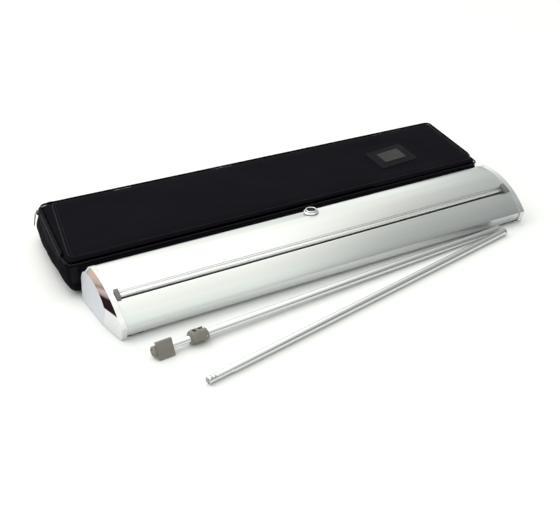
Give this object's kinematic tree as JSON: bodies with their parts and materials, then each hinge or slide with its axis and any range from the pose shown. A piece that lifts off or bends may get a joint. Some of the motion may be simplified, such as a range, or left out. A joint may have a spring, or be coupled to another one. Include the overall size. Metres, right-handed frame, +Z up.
{
  "type": "roll-up banner stand kit",
  "caption": "Retractable banner base with capped aluminium casing and top rail, two-piece telescopic pole with flip lock, and padded zipped carry bag.",
  "frame": {"origin": "centre of the floor area that the kit covers, on the floor", "axes": "+X along the base and the banner, +Y towards the rear, from the poles past the base to the bag, +Z up"},
  "size_m": [0.9586, 0.6148, 0.083],
  "materials": {
    "anodised": "satin anodised, drawn lengthwise",
    "chrome": "polished",
    "steel": "plain, zinc plated",
    "grey_plastic": "fine grained",
    "dark_plastic": "moulded",
    "rubber": "matt",
    "banner_film": "blank coated banner film",
    "felt": "short pile",
    "nylon": "plain weave, coated",
    "zip": "coil zip tape",
    "clear_vinyl": "clear film over a grey card"
  },
  "bodies": {
    "base": {"casing": "anodised", "end_cap_left": "chrome", "end_cap_right": "chrome", "bearing_plate_left": "steel", "bearing_plate_right": "steel", "plate_screw_left_front": "steel", "plate_screw_left_rear": "steel", "plate_screw_left_upper": "steel", "plate_screw_right_front": "steel", "plate_screw_right_rear": "steel", "plate_screw_right_upper": "steel", "foot_front_left": "rubber", "foot_front_right": "rubber", "foot_rear_left": "rubber", "foot_rear_right": "rubber", "socket_ring": "chrome", "socket_tube": "steel", "wiper_felt": "felt", "spindle": "steel", "torsion_spring": "steel", "spring_collar": "dark_plastic"},
    "roller": {"roller_tube": "anodised", "banner_roll": "banner_film", "roller_plug_left": "dark_plastic", "roller_plug_right": "dark_plastic"},
    "top_rail": {"rail_front_jaw": "anodised", "rail_rear_jaw": "anodised", "rail_cap_left": "grey_plastic", "rail_cap_right": "grey_plastic", "banner_web": "banner_film"},
    "upper_pole": {"upper_tube": "anodised", "lock_collar": "grey_plastic", "lever_pin_front": "steel", "lever_pin_rear": "steel"},
    "lock_lever": {"lock_lever": "grey_plastic"},
    "inner_pole": {"inner_tube": "anodised", "head_block": "grey_plastic", "head_boss": "grey_plastic", "head_screw": "steel"},
    "lower_pole": {"lower_tube": "anodised", "lower_plug": "dark_plastic"},
    "bag": {"bag_tub": "nylon", "zip_tape_lower": "zip", "corner_tab": "nylon"},
    "bag_lid": {"bag_lid": "nylon", "zip_tape_upper": "zip", "card_pocket": "nylon", "card_window": "clear_vinyl"},
    "rear_slider": {"zip_slider_rear": "zip"},
    "left_slider": {"zip_slider_left": "zip"},
    "rear_pull": {"zip_pull_rear": "chrome"},
    "left_pull": {"zip_pull_left": "chrome"}
  },
  "joints": [
    {"name": "rail_pull", "type": "slide", "parent": "base", "child": "top_rail", "axis": [0, 0, 1], "range_m": [0, 2], "stiffness_N_per_m": 4, "springref_m": -2, "deforming": ["banner_web"]},
    {"name": "roller_spin", "type": "hinge", "parent": "base", "child": "roller", "pos_m": [0, -0.06663, 0.034], "axis": [1, 0, 0], "range_deg": [-6560, 0]},
    {"name": "upper_pole_lift", "type": "slide", "parent": "base", "child": "upper_pole", "axis": [0, 0, 1], "range_m": [0, 0.3]},
    {"name": "inner_extend", "type": "slide", "parent": "upper_pole", "child": "inner_pole", "axis": [-0.9971, -0.0758, 0.0063], "range_m": [0, 0.56]},
    {"name": "lever_open", "type": "hinge", "parent": "upper_pole", "child": "lock_lever", "pos_m": [-0.34122, -0.19175, 0.01423], "axis": [-0.0758, 0.9971, 0], "range_deg": [0, 90]},
    {"name": "lower_pole_lift", "type": "slide", "parent": "base", "child": "lower_pole", "axis": [0, 0, 1], "range_m": [0, 0.3]},
    {"name": "bag_lift", "type": "slide", "parent": "base", "child": "bag", "axis": [0, 0, 1], "range_m": [0, 0.3]},
    {"name": "lid_open", "type": "hinge", "parent": "bag", "child": "bag_lid", "pos_m": [-0.03117, 0.04007, 0.0612], "axis": [1, -0.0033, 0], "range_deg": [0, 110]},
    {"name": "rear_zip", "type": "slide", "parent": "bag", "child": "rear_slider", "axis": [0.9998, -0.0196, 0], "range_m": [0, 0.86]},
    {"name": "left_zip", "type": "slide", "parent": "bag", "child": "left_slider", "axis": [-0.1381, -0.9904, 0], "range_m": [0, 0.18]},
    {"name": "rear_pull_swing", "type": "hinge", "parent": "rear_slider", "child": "rear_pull", "pos_m": [-0.41899, 0.3015, 0.06], "axis": [0.9998, -0.0196, 0], "range_deg": [0, 82]},
    {"name": "left_pull_swing", "type": "hinge", "parent": "left_slider", "child": "left_pull", "pos_m": [-0.45579, 0.2701, 0.06], "axis": [0.1381, 0.9904, 0], "range_deg": [0, 82]}
  ],
  "couplings": [
    {"joint": "roller_spin", "follows": "rail_pull", "rad_per_m": -57.143}
  ]
}
